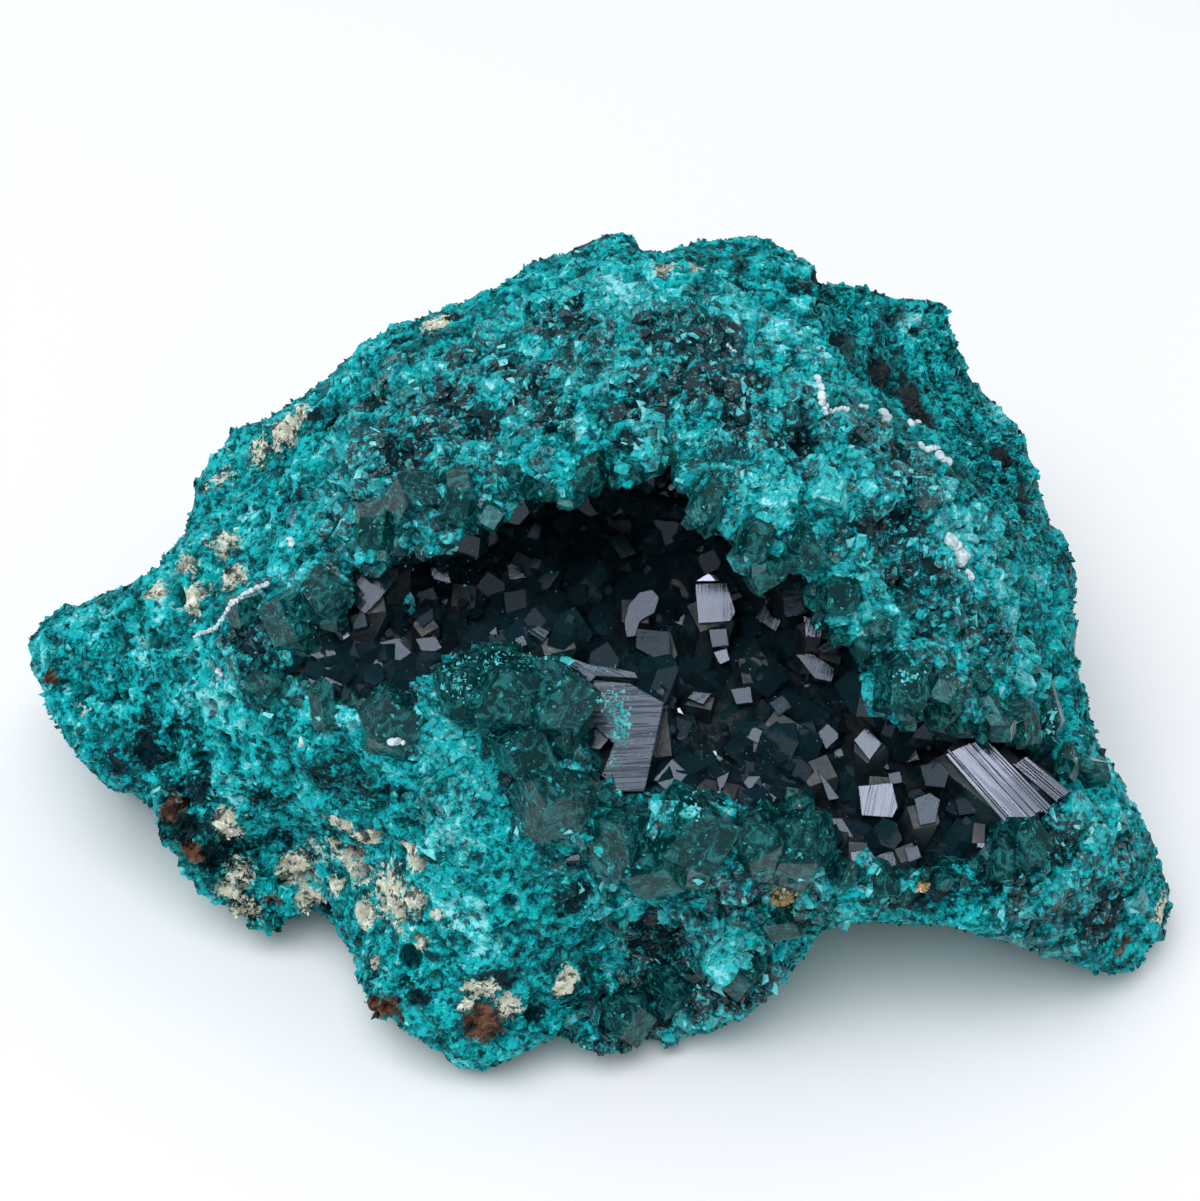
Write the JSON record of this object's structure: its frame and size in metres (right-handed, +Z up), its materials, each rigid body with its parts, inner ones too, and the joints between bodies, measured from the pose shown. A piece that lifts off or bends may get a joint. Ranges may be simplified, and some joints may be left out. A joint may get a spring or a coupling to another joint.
{
  "type": "mineral specimen",
  "caption": "Rough turquoise matrix of druse with an open hollow lined with dark green dioptase crystals, standing on its uneven base.",
  "frame": {"origin": "middle of the footprint of the rock's box, on the surface that it stands on", "axes": "+X to the right along the longest side, +Y away from the hollow's mouth, +Z up"},
  "size_m": [0.1058, 0.0732, 0.056],
  "materials": {
    "matrix": "matt druse with glassy grains",
    "dioptase": "glossy dark green crystal faces"
  },
  "bodies": {
    "root": {"matrix": "matrix", "vug_crystals": "dioptase"}
  },
  "joints": []
}
